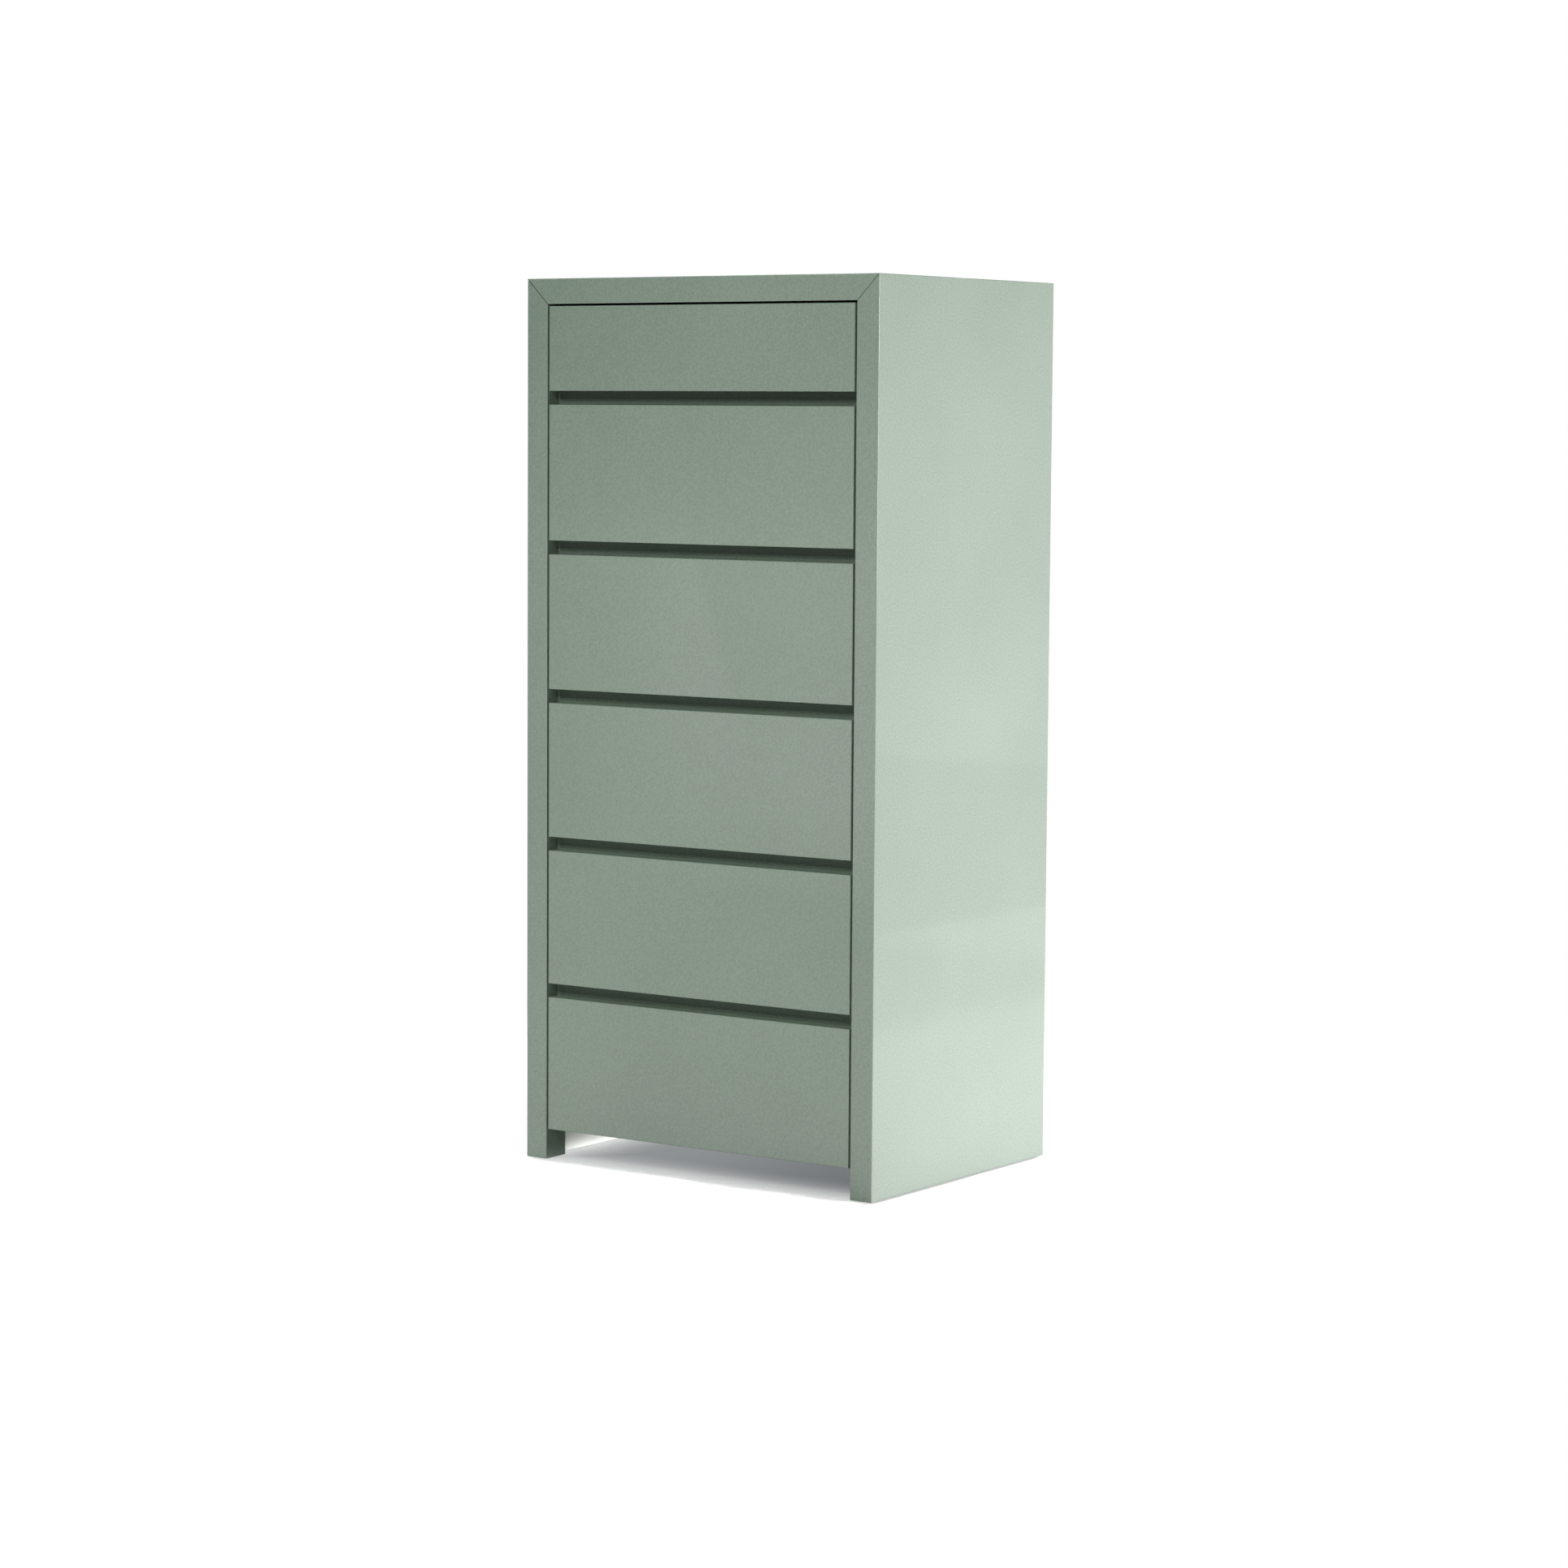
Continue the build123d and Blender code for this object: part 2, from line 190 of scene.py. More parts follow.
# %% [markdown]
# ## Sage-green lacquer
#
# The boards are sprayed. Up close a sprayed coat is never quite flat: it has a fine pebbled skin, a trace
# of lighter and darker tint, and a gloss that wanders. One flat green would read as plastic, so the tint,
# the gloss and the relief each follow a noise. The clear gloss on top is the coat of the same shader. At
# the two upper corners a mask paints the shade of the fine mitre gaps as a dark hairline.

# %% Lacquer
LACQUER_LIGHT = srgb(162, 181, 164)
LACQUER_DEEP = srgb(148, 167, 150)
CLOUDS = 4.0             # clouds of tint in a metre
PEBBLE = 0.003           # size of the pebbled skin
PEBBLE_DEPTH = 0.00006
PEBBLE_SHARE = 0.7       # the tint follows the pebbles this much, and the clouds for the rest
TINT_RANGE = (0.35, 0.65)
COAT_GLOSS = 0.85
COAT_BLUR = 0.03
BODY_BLUR = 0.45
BLUR_WANDER = 0.08
# the painted shade of the mitre seams
SEAM_SHADE_DARK = srgb(38, 44, 38)
SEAM_HALF = 0.0007       # half the width of the hairline
SEAM_SOFT = (0.5, 1.5)   # it fades between these shares of that half
SEAM_DEPTH = 0.0012      # how far in from the front and the back it can be seen
SEAM_SLACK = 0.0002      # and how far it reaches past the inner edge of the frame

chest_corner = cad_box[1]
opening_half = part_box("right_side_panel")[0][0]


def mitre_seam(net, place):
    """1 on the mitre seam and 0 elsewhere: z - |x| is the same number all along the two mitres."""
    across, along, height = net.split(net.vector("ABSOLUTE", place))
    off = net.math("ABSOLUTE", height - across - (chest_corner[2] - chest_corner[0]))
    on_line = 1 - net.step(off, *(share * SEAM_HALF for share in SEAM_SOFT))
    on_frame = net.math("GREATER_THAN", across, opening_half - SEAM_SLACK)
    return on_line * on_frame * net.math("GREATER_THAN", along, chest_corner[1] - SEAM_DEPTH)


def sprayed(net, share=1.0):
    """Colour, roughness and relief of the sprayed coat. A share below 1 darkens the colour."""
    place = net.place()
    cloud = net.noise(place, CLOUDS, detail=3.0)
    pebble = net.noise(place, 1 / PEBBLE)
    tint = net.step(cloud * (1 - PEBBLE_SHARE) + pebble * PEBBLE_SHARE, *TINT_RANGE)
    colour = net.mix(tint, darker(LACQUER_DEEP, share), darker(LACQUER_LIGHT, share))
    # painted shade: the mitre seams are darkened where a fine gap would hold shade
    colour = net.mix(mitre_seam(net, place), colour, SEAM_SHADE_DARK)
    return colour, BODY_BLUR + (cloud - 0.5) * BLUR_WANDER, net.bump(pebble, PEBBLE_DEPTH)


sage_lacquer, net = new_finish("sage_lacquer")
colour, blur, relief = sprayed(net)
net.finish(Base_Color=colour, Roughness=blur, Normal=relief,
           Coat_Weight=COAT_GLOSS, Coat_Roughness=COAT_BLUR)
print("lacquer light", [round(v, 3) for v in LACQUER_LIGHT])

# %% [markdown]
# ## Dull lacquer
#
# The rails behind the grooves are far darker than the lamps' shade makes them, the upper ones most of all,
# and nothing mirrors in them. So they carry painted shade: they get the same coat with less of its colour,
# and less still the higher they lie, and they are left dull, with no clear top. The back and the bottom,
# which no one looks at, are sprayed thinly with the same dull coat and a little less of its colour.

# %% Groove and back lacquer
# the rails keep this share of the colour, as painted shade
GROOVE_SHARE = 0.55
BACK_SHARE = 0.85
DULL_BLUR = 0.15         # how much rougher the dull coat is
DULL_SHINE = 0.3
RAIL_SHADE_BLACK = srgb(16, 19, 16)
RAIL_SHADE_RISE = (0.46, 1.5)  # between these heights the painted shade grows
RAIL_SHADE_MOST = 0.45


def dull_lacquer(name, share, shade_most=0.0):
    material, net = new_finish(name)
    colour, blur, relief = sprayed(net, share)
    if shade_most:
        # painted shade: black is mixed into the rails, more the higher they lie
        height = net.split(net.place())[2]
        colour = net.mix(net.step(height, *RAIL_SHADE_RISE) * shade_most, colour, RAIL_SHADE_BLACK)
    net.finish(Base_Color=colour, Roughness=blur + DULL_BLUR, Normal=relief, Specular_IOR_Level=DULL_SHINE)
    return material


groove_shade_lacquer = dull_lacquer("groove_shade_lacquer", GROOVE_SHARE, RAIL_SHADE_MOST)
back_lacquer = dull_lacquer("back_lacquer", BACK_SHARE)
print("grooves keep", GROOVE_SHARE, "of the colour and the back keeps", BACK_SHARE)

# %% [markdown]
# ## Side panels
#
# Underneath, between its front foot and its rear foot, each side panel is hollowed out to a thin skin. No
# one sees that hollow, so it is only primed white. A mask on the place of each point, 1 inside the hollow
# and 0 elsewhere, swaps the colour and takes the gloss away, and the rest of the panel stays lacquered.

# %% Side panel lacquer
PRIMER_WHITE = srgb(236, 236, 232)
FOOT_SKIN = 0.018
FOOT_DEPTH = 0.045
MASK_EDGE = 0.0005       # the mask turns within this of its limits

panel_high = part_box("right_side_panel")[1]
hollow_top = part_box("bottom_panel")[0][2]


def below(net, value, limit):
    """1 where a value is under a limit, and 0 from just short of it."""
    return 1 - net.step(value, limit - MASK_EDGE, limit - MASK_EDGE / 2)


side_lacquer, net = new_finish("side_lacquer")
colour, blur, relief = sprayed(net)
x, y, z = net.split(net.place())
hollow = below(net, net.math("ABSOLUTE", x), panel_high[0] - FOOT_SKIN + 2 * MASK_EDGE)
hollow = hollow * below(net, net.math("ABSOLUTE", y), panel_high[1] - FOOT_DEPTH)
hollow = hollow * below(net, z, hollow_top)
net.finish(Base_Color=net.mix(hollow, colour, PRIMER_WHITE), Roughness=blur, Normal=relief,
           Coat_Weight=(1 - hollow) * COAT_GLOSS, Coat_Roughness=COAT_BLUR)
print(f"hollow under each side panel {1000 * hollow_top:.0f} mm high")

# %% [markdown]
# ## Birch plywood
#
# The drawer boxes are clear-coated birch plywood. Faces show long pale grain, and cut edges show the thin
# glued layers, light and dark in turn, with a brown glue line between them. The surface's own direction
# tells which is which: where it looks along the board's thin axis it is a face, and elsewhere an edge.

# %% Plywood
BIRCH_LIGHT = srgb(230, 209, 174)
BIRCH_DARK = srgb(212, 185, 145)
BIRCH_CORE = srgb(186, 152, 110)
GLUE_BROWN = srgb(134, 100, 68)
LAYERS = 11
GRAIN_ACROSS = 70.0      # grain stripes in a metre across the board
GRAIN_ALONG = 3.0
FIBRE_ACROSS = 1400.0
FIBRE_ALONG = 40.0
FIBRE_SHARE = 0.25       # a face follows the fibre this much, and the grain for the rest
FIBRE_DEPTH = 0.00003
FACE_RANGE = (0.36, 0.66)
LAYER_SHARE = 0.8        # a layer is this much itself, and fibre for the rest
GLUE_RANGE = (0.03, 0.12)  # a glue line fades between these shares of a layer
GLUE_SHARE = 0.7
FACE_TURN = (0.75, 0.95)  # how squarely a face looks along the thin axis
PLY_BLUR = 0.42
GRAIN_BLUR = 0.12
WOOD_COAT = 0.15
WOOD_COAT_BLUR = 0.3
AXES = "XYZ"


def along_axis(axis, along, across):
    """Counts for a stretch: one number along the grain and another across it."""
    return tuple(along if name == axis else across for name in AXES)


def plywood(name, grain_axis, thin_axis, thin_start, thickness):
    material, net = new_finish(name)
    place = net.place()
    grain_place = net.stretch(place, along_axis(grain_axis, GRAIN_ALONG, GRAIN_ACROSS))
    grain = net.noise(grain_place, detail=5.0, roughness=0.6)
    fibre = net.noise(net.stretch(place, along_axis(grain_axis, FIBRE_ALONG, FIBRE_ACROSS)))
    figure = net.step(grain * (1 - FIBRE_SHARE) + fibre * FIBRE_SHARE, *FACE_RANGE)
    face = net.mix(figure, BIRCH_LIGHT, BIRCH_DARK)

    depth = net.math("ABSOLUTE", net.split(place)[AXES.index(thin_axis)]) - thin_start
    layer = depth * (LAYERS / thickness)
    odd = net.math("MODULO", net.math("FLOOR", layer), 2.0)
    layers = net.mix(odd * LAYER_SHARE + fibre * (1 - LAYER_SHARE), BIRCH_DARK, BIRCH_CORE)
    glue = 1 - net.step(net.math("PINGPONG", layer, 0.5), *GLUE_RANGE)
    edge = net.mix(glue * GLUE_SHARE, layers, GLUE_BROWN)

    looks_along = net.split(net.node("NewGeometry").out("True Normal"))[AXES.index(thin_axis)]
    is_face = net.step(net.math("ABSOLUTE", looks_along), *FACE_TURN)
    net.finish(Base_Color=net.mix(is_face, edge, face), Roughness=PLY_BLUR + grain * GRAIN_BLUR,
               Normal=net.bump(fibre, FIBRE_DEPTH), Coat_Weight=WOOD_COAT, Coat_Roughness=WOOD_COAT_BLUR)
    return material


box_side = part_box("drawer_2_right_side")
box_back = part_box("drawer_2_back")
board = box_side[1][0] - box_side[0][0]
ply_sides = plywood("birch_ply_sides", "Y", "X", box_side[0][0], board)
ply_backs = plywood("birch_ply_backs", "X", "Y", box_back[0][1], board)
print(f"drawer boards are {1000 * board:.1f} mm of {LAYERS} layers")

# %% [markdown]
# ## Drawer bottoms
#
# A thin birch board with its grain from side to side lies in grooves round the box. It needs no layers,
# because its edges are hidden, but it is the largest wooden face, so the broad figure of a peeled veneer
# is worth adding: rings cut flat become long bands that wander.

# %% Veneer
VENEER_BANDS = 26.0      # bands in a metre
VENEER_WANDER = 1.6
WANDER_COUNTS = (2.0, 6.0, 6.0)
BAND_SHARE = 0.7         # the figure follows the bands this much, and the fibre for the rest
BAND_RANGE = (0.1, 0.9)
VENEER_BLUR = 0.45
VENEER_FIBRE_BLUR = 0.1
VENEER_DEPTH = 0.00002


def veneer(name):
    material, net = new_finish(name)
    place = net.place()
    wander = net.noise(net.stretch(place, WANDER_COUNTS), detail=3.0) * VENEER_WANDER
    bands = net.math("PINGPONG", net.split(place)[1] * VENEER_BANDS + wander, 1.0)
    fibre = net.noise(net.stretch(place, along_axis("X", FIBRE_ALONG, FIBRE_ACROSS)))
    figure = net.step(bands * BAND_SHARE + fibre * (1 - BAND_SHARE), *BAND_RANGE)
    net.finish(Base_Color=net.mix(figure, BIRCH_LIGHT, BIRCH_DARK),
               Roughness=VENEER_BLUR + fibre * VENEER_FIBRE_BLUR, Normal=net.bump(fibre, VENEER_DEPTH),
               Coat_Weight=WOOD_COAT, Coat_Roughness=WOOD_COAT_BLUR)
    return material


birch_veneer = veneer("birch_veneer")
print("veneer bands", VENEER_BANDS, "per metre")

# %% [markdown]
# ## Steel, nylon and beech
#
# The runners are folded from zinc-plated strip, which keeps fine streaks along its length and a cold,
# slightly blotchy gloss. Screws and cams are plated brighter. The glides are moulded nylon, and dowels and
# tongues are plain beech.

# %% Zinc plate
ZINC_PALE = srgb(208, 211, 214)
ZINC_DULL = srgb(178, 183, 190)
ZINC_RANGE = (0.35, 0.65)
ZINC_BLUR = 0.3
STRIP_SHARE = 0.7        # how bright the strip is beside the screws
STREAK_ALONG = 6.0       # streaks in a metre along the strip
STREAK_ACROSS = 900.0
STREAK_DEPTH = 0.000006
STREAK_BLUR = 0.1
BLOOMS = 90.0            # blotches in a metre
BLOOM_SHARE = 0.6
BLOOM_BLUR = 0.12


def zinc_plate(name, share=1.0):
    material, net = new_finish(name)
    place = net.place()
    streak = net.noise(net.stretch(place, along_axis("Y", STREAK_ALONG, STREAK_ACROSS)), detail=3.0)
    bloom = net.noise(place, BLOOMS, detail=3.0)
    bright = net.step(bloom * BLOOM_SHARE + streak * (1 - BLOOM_SHARE), *ZINC_RANGE)
    colour = net.mix(bright, darker(ZINC_DULL, share), darker(ZINC_PALE, share))
    blur = ZINC_BLUR + streak * STREAK_BLUR + bloom * BLOOM_BLUR
    net.finish(Base_Color=colour, Metallic=1.0, Roughness=blur, Normal=net.bump(streak, STREAK_DEPTH))
    return material


strip_zinc = zinc_plate("strip_zinc", STRIP_SHARE)
screw_zinc = zinc_plate("screw_zinc")
print("strip keeps", STRIP_SHARE, "of the brightness of the screws")

# %% Nylon
NYLON_BLACK = srgb(30, 30, 31)
NYLON_PALER = 1.3
NYLON_BLUR = 0.48
SKIN_GRAINS = 2500.0     # grains of the moulded skin in a metre
SKIN_BLUR = 0.15
SKIN_DEPTH = 0.00002


def moulded_nylon(name):
    material, net = new_finish(name)
    skin = net.noise(net.place(), SKIN_GRAINS)
    colour = net.mix(skin, NYLON_BLACK, darker(NYLON_BLACK, NYLON_PALER))
    net.finish(Base_Color=colour, Roughness=NYLON_BLUR + skin * SKIN_BLUR,
               Normal=net.bump(skin, SKIN_DEPTH))
    return material


nylon = moulded_nylon("moulded_nylon")
print("nylon grains", SKIN_GRAINS, "per metre")

# %% Beech
BEECH_PALE = srgb(214, 180, 138)
BEECH_FLECK = srgb(184, 142, 98)
FLECK_ALONG = 150.0      # flecks in a metre along the wood
FLECK_ACROSS = 900.0
FLECK_RANGE = (0.42, 0.68)
BEECH_BLUR = 0.6
FLECK_BLUR = 0.1


def plain_beech(name):
    material, net = new_finish(name)
    fleck_place = net.stretch(net.place(), along_axis("X", FLECK_ALONG, FLECK_ACROSS))
    fleck = net.noise(fleck_place, detail=3.0)
    colour = net.mix(net.step(fleck, *FLECK_RANGE), BEECH_PALE, BEECH_FLECK)
    net.finish(Base_Color=colour, Roughness=BEECH_BLUR + fleck * FLECK_BLUR)
    return material


beech = plain_beech("plain_beech")
print("beech flecks", FLECK_ACROSS, "per metre across")

# %% [markdown]
# ## Dressing the frame
#
# Each node of the frame keeps its mesh and takes a finish. The record names a material slot for every
# node, so most finishes follow the slot. Rails, panels and drawer backs then take their own variant.

# %% Assign the finishes
SLOT_FINISH = {
    "lacquer": sage_lacquer, "drawer_board": ply_sides, "drawer_bottom": birch_veneer, "beech": beech,
    "runner_steel": strip_zinc, "screw_steel": screw_zinc, "glide_plastic": nylon,
}


def finish_for(name, slot):
    if name.startswith("cross_rail"):
        return groove_shade_lacquer
    if name in ("back_panel", "bottom_panel"):
        return back_lacquer
    if name.endswith("side_panel"):
        return side_lacquer
    if name.startswith("drawer") and name.endswith("_back"):
        return ply_backs
    return SLOT_FINISH[slot]


for subpart in frame["record"]["subparts"]:
    mesh = nodes[subpart["node"]].data
    mesh.materials.clear()
    mesh.materials.append(finish_for(subpart["node"], subpart["material_slot"]))

# %% [markdown]
# ## Screws and cams
#
# Two kinds of hardware show when a drawer is out: pan-head screws that hold each runner to its board, and
# flat cams in the boards' inner faces that pull the front tight. Both are a turned head with a cross
# pressed into it, so one formula makes them: rings run from the bottom of the cross, over its edge and
# the rounded top, down to a flat base. At every angle the cross decides how far out its edge lies.

# %% Turned heads
ANGLES = 48
SCREW = {"radius": 0.0036, "height": 0.0018, "power": 4, "reach": 0.0019, "half": 0.0006, "depth": 0.0011}
CAM = {"radius": 0.0075, "height": 0.0005, "power": 16, "reach": 0.0034, "half": 0.0009, "depth": 0.00042}
RING_SHARES = (0.0, 0.3, 0.55, 0.75, 0.9, 0.97, 1.0)
CROSS_FLOOR = 0.85       # the floor of the cross is this much of its edge
TINY = 1e-6


def cross_edge(angle, reach, half):
    """How far the edge of a cross lies: the nearer of the end of an arm and the side of that arm."""
    cosine, sine = np.abs(np.cos(angle)), np.abs(np.sin(angle))
    side = half / np.maximum(np.minimum(cosine, sine), TINY)
    return np.minimum(reach / np.maximum(cosine, sine), side)


def turned_heads(centres, sides, radius, height, power, reach, half, depth):
    """Heads that face along X, as heads by rings by angles by 3.

    Outside the cross the top follows (r / R) to the power p + (h / H) squared = 1. The first two rings are
    the floor of the cross, its depth below the top, and the last ring is the middle of the base.
    """
    angle = np.arange(ANGLES) * (2 * np.pi / ANGLES)
    edge = cross_edge(angle, reach, half)
    rings = edge + np.array(RING_SHARES)[:, None] * (radius - edge)
    top = height * np.sqrt(np.clip(1 - (rings / radius) ** power, 0, 1))
    middle = np.zeros((1, ANGLES))
    out = np.concatenate([middle, CROSS_FLOOR * edge[None], rings, middle])
    rise = np.concatenate([middle + height - depth, middle + height - depth, top, middle])
    local = np.stack([rise, out * np.cos(angle), out * np.sin(angle)], axis=-1)
    turn = np.stack([sides, np.ones_like(sides), np.ones_like(sides)], axis=-1)
    return centres[:, None, None] + turn[:, None, None] * local


print("a head has", len(RING_SHARES) + 3, "rings of", ANGLES, "points")

# %% Heads as a mesh
MERGE = 1e-7             # points closer than this become one
CREASE = math.radians(35)


def head_piece(name, points, material):
    """One mesh of all the heads: quads wrap round each ring, and rings of one point close the middles."""
    index = np.arange(points[..., 0].size).reshape(points.shape[:3])
    after = np.roll(index, -1, axis=2)
    quads = np.stack([index[:, :-1], after[:, :-1], after[:, 1:], index[:, 1:]], axis=-1).reshape(-1, 4)
    mesh = bpy.data.meshes.new(name)
    mesh.from_pydata(points.reshape(-1, 3).tolist(), [], quads.tolist())
    shape = bmesh.new()
    shape.from_mesh(mesh)
    bmesh.ops.remove_doubles(shape, verts=shape.verts, dist=MERGE)
    bmesh.ops.recalc_face_normals(shape, faces=shape.faces)
    shape.to_mesh(mesh)
    shape.free()
    mesh.shade_smooth()
    mesh.set_sharp_from_angle(angle=CREASE)
    mesh.materials.append(material)
    piece = bpy.data.objects.new(name, mesh)
    bpy.context.scene.collection.objects.link(piece)
    return piece


print(f"edges over {math.degrees(CREASE):.0f} degrees stay sharp")

# %% [markdown]
# ## Where the hardware goes
#
# Three screws hold each runner, in the middle of its height. The cams lie just behind the front, two to a
# board, or one in the low drawer. Every piece rides on its drawer, so it moves out with it.

# %% Place screws and cams
RUNNER_SHEET = 0.0012
SUNK = 0.0001
SCREW_INSET = 0.030
CAM_INSET = 0.030
LOW_DRAWER = 0.15        # a drawer front below this height has one cam to a board
CAM_LEVELS = (0.25, 0.75)  # shares of the height of the board
LOW_CAM_LEVELS = (0.5,)
LEFT_AND_RIGHT = (-1.0, 1.0)
SCREWS = 3               # to a runner
DRAWERS = range(1, 7)

for number in DRAWERS:
    body = f"drawer_{number}"
    runner_low, runner_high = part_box(f"{body}_runners")
    side_low, side_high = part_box(f"{body}_right_side")
    front_low, front_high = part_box(f"{body}_front")

    along = np.linspace(runner_low[1] + SCREW_INSET, runner_high[1] - SCREW_INSET, SCREWS)
    sides, along = (part.ravel() for part in np.meshgrid(LEFT_AND_RIGHT, along, indexing="ij"))
    level = np.full_like(along, (runner_low[2] + runner_high[2]) / 2)
    crown = side_high[0] + RUNNER_SHEET - SUNK
    heads = turned_heads(np.stack([sides * crown, along, level], axis=-1), sides, **SCREW)
    screws = head_piece(f"{body}_runner_screws", heads, screw_zinc)

    shares = LOW_CAM_LEVELS if front_high[2] - front_low[2] < LOW_DRAWER else CAM_LEVELS
    level = side_low[2] + np.array(shares) * (side_high[2] - side_low[2])
    sides, level = (part.ravel() for part in np.meshgrid(LEFT_AND_RIGHT, level, indexing="ij"))
    along = np.full_like(level, front_high[1] + CAM_INSET)
    heads = turned_heads(np.stack([sides * (side_low[0] + SUNK), along, level], axis=-1), -sides, **CAM)
    cams = head_piece(f"{body}_front_cams", heads, screw_zinc)

    for piece in (screws, cams):
        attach(piece, body)
print("screws and cams on", len(DRAWERS), "drawers")

# %% [markdown]
# ## The studio floor
#
# The ground is pure white with one soft shade under the chest, which grows deeper towards the right foot.
# The camera therefore sees paper that glows by itself, plus a share of the lamps' light with its cast
# shadows. The soft shade is a painted shadow, worked out from the distance to the edge of a rectangle a
# little narrower than the chest, negative inside it, and it stops at the right side. In that painted shade,
# and a little way round it, the paper is also painted darker, so it gives less light back to the chest.

# %% Shade under the chest
SHADE_MIDDLE = (0.01, 0.01, 0.0)
SHADE_HALF = (0.29, 0.219, 1.0)
SHADE_EDGE = 0.11        # the shade fades over this far inside and outside the rectangle
SHADE_WASH = 0.003       # and over this far past the right side
SHADE_CORNER = (0.02, 0.03)  # it is cut back by this much at the rear right corner
BOUNCE_EDGE = 0.18       # from this far outside the rectangle the paper gives back all its light
BOUNCE_LEFT = (-0.27, -0.12)  # and so it does left of these two places, by the left foot

right_side, back_side = cad_box[1][:2]


def edge_distance(net, place):
    """Distance to the edge of the shaded rectangle: |place - middle| - half, joined round its corners."""
    past = net.vector("ABSOLUTE", net.vector("SUBTRACT", place, SHADE_MIDDLE))
    past = net.vector("SUBTRACT", past, SHADE_HALF)
    across, along = net.split(past)[:2]
    outside = net.vector("LENGTH", net.vector("MAXIMUM", past)).out("Value")
    return outside + net.math("MINIMUM", net.math("MAXIMUM", across, along), 0.0)


def shade_masks(net, place):
    """Two masks: 1 where the paper is bare of shade, and 1 where it gives no light back to the chest."""
    x, y = net.split(place)[:2]
    past_edge = edge_distance(net, place)
    on_right = net.step(x, right_side, right_side + SHADE_WASH)
    bare = net.math("MAXIMUM", net.step(past_edge, -SHADE_EDGE, SHADE_EDGE), on_right)
    corner = net.step(x, right_side - SHADE_CORNER[0], right_side)
    corner = corner * net.step(y, back_side - SHADE_CORNER[1], back_side)
    # painted shade on the light that the paper gives back to the chest
    dim = (1 - net.step(past_edge, 0.0, BOUNCE_EDGE)) * net.step(x, *BOUNCE_LEFT) * (1 - on_right)
    return net.math("MAXIMUM", bare, corner), dim


print("shade", [2 * half for half in SHADE_HALF[:2]], "m")

# %% [markdown]
# ## Light from the floor
#
# Three oval light tables lie under the paper, where only the chest sees them. A narrow one lights the
# hollow behind the left foot, a large one lights the right side from below, and a faint one runs along the
# foot of that side. Reflections see plain paper and, on the right, two brighter sheets of it, because the
# gloss of the right side shows pale bands with clear edges.

# %% Light tables and sheets
TABLES = (               # middle of an oval light table, its half sizes, and its glow
    ((-0.273, -0.06, 0.0), (0.012, 0.155, 1.0), 3.1),
    ((0.9, 0.23, 0.0), (0.7, 0.7, 1.0), 1.0),
    ((0.315, 0.0, 0.0), (0.05, 0.3, 1.0), 0.22),
)
TABLE_FULL = 0.57        # from this share of the half sizes its glow fades
STUDIO_GLOSS = 1.12      # how bright reflections see the paper and the walls
NEAR_START = 0.02        # the near sheet sets in over this far past the right side
NEAR_END = (1.05, 1.27)
NEAR_SHEEN = 0.55        # how much brighter it mirrors
FAR_START = (1.85, 2.4)
FAR_END = (1.86, 1.9)
FAR_SHEEN = 0.5


def table_light(net, place):
    """The glow of all the tables: full in the middle of each oval, and fading to its edge."""
    light = 0.0
    for middle, half, glow in TABLES:
        off = net.vector("DIVIDE", net.vector("SUBTRACT", place, middle), half)
        share = net.vector("LENGTH", off).out("Value")
        light = (1 - net.step(share, TABLE_FULL, 1.0)) * glow + light
    return light


def paper_sheen(net, place):
    """How bright reflections see the paper: the near sheet ends where the far one starts."""
    x, y = net.split(place)[:2]
    near_sheet = net.step(x, right_side, right_side + NEAR_START) * (1 - net.step(x, *NEAR_END))
    far_sheet = net.step(y, *FAR_START) * (1 - net.step(x, *FAR_END)) * net.step(x, *NEAR_END)
    return near_sheet * NEAR_SHEEN + far_sheet * FAR_SHEEN + STUDIO_GLOSS


print(len(TABLES), "light tables")

# %% Floor paper
BLACK = (0.0,) * 3
WHITE = (1.0,) * 3
PAPER = (0.55,) * 3      # what the floor gives back to the chest
PAPER_SEEN = (0.9,) * 3  # what the camera sees of the same light
PAPER_GLOW = (0.75,) * 3
SHADE_LEFT = (0.275, 0.288, 0.295)
SHADE_RIGHT = (0.165, 0.178, 0.184)
SHADE_TURN = (-0.2, 0.25)  # from left to right the shade deepens between these places
WHITE_AWAY = (0.8, 1.6)  # between these distances the floor turns plain white


def floor_paper():
    material, net = new_finish("floor_paper")
    material.cycles.emission_sampling = "NONE"
    path = net.node("LightPath")
    camera_sees = path.out("Is Camera Ray")
    gloss_sees = net.math("MAXIMUM", path.out("Is Glossy Ray"), path.out("Is Transmission Ray"))
    place = net.place()
    x, y = net.split(place)[:2]
    bare, dim = shade_masks(net, place)

    # painted shade: near the chest the paper gives back less light
    bounce = net.mix(dim, PAPER, BLACK)
    lit_paper = net.mix(bare, BLACK, PAPER_SEEN)
    paper = net.node("BsdfDiffuse", Color=net.mix(camera_sees, bounce, lit_paper))

    # painted shadow under the chest, deeper towards the right
    shade = net.mix(net.step(x, *SHADE_TURN), SHADE_LEFT, SHADE_RIGHT)
    seen = net.mix(bare, shade, PAPER_GLOW)
    gloss = gloss_sees * bare * paper_sheen(net, place)
    tables = path.out("Is Diffuse Ray") * table_light(net, place)
    glow = net.node("Emission", Color=net.mix(camera_sees, WHITE, seen),
                    Strength=camera_sees + gloss + tables)

    radius = net.math("SQRT", x * x + y * y)
    away = net.step(radius, *WHITE_AWAY) * camera_sees
    near = net.node("AddShader", i0=paper, i1=glow)
    white = net.node("Emission", Strength=1.0)
    net.node("OutputMaterial", Surface=net.node("MixShader", i0=away, i1=near, i2=white))
    return material


paper_finish = floor_paper()
print("paper gives back", PAPER[0], "and shows", PAPER_SEEN[0])

# %% Floor
FLOOR_HALF = 6.0
FLOOR_CELLS = 12


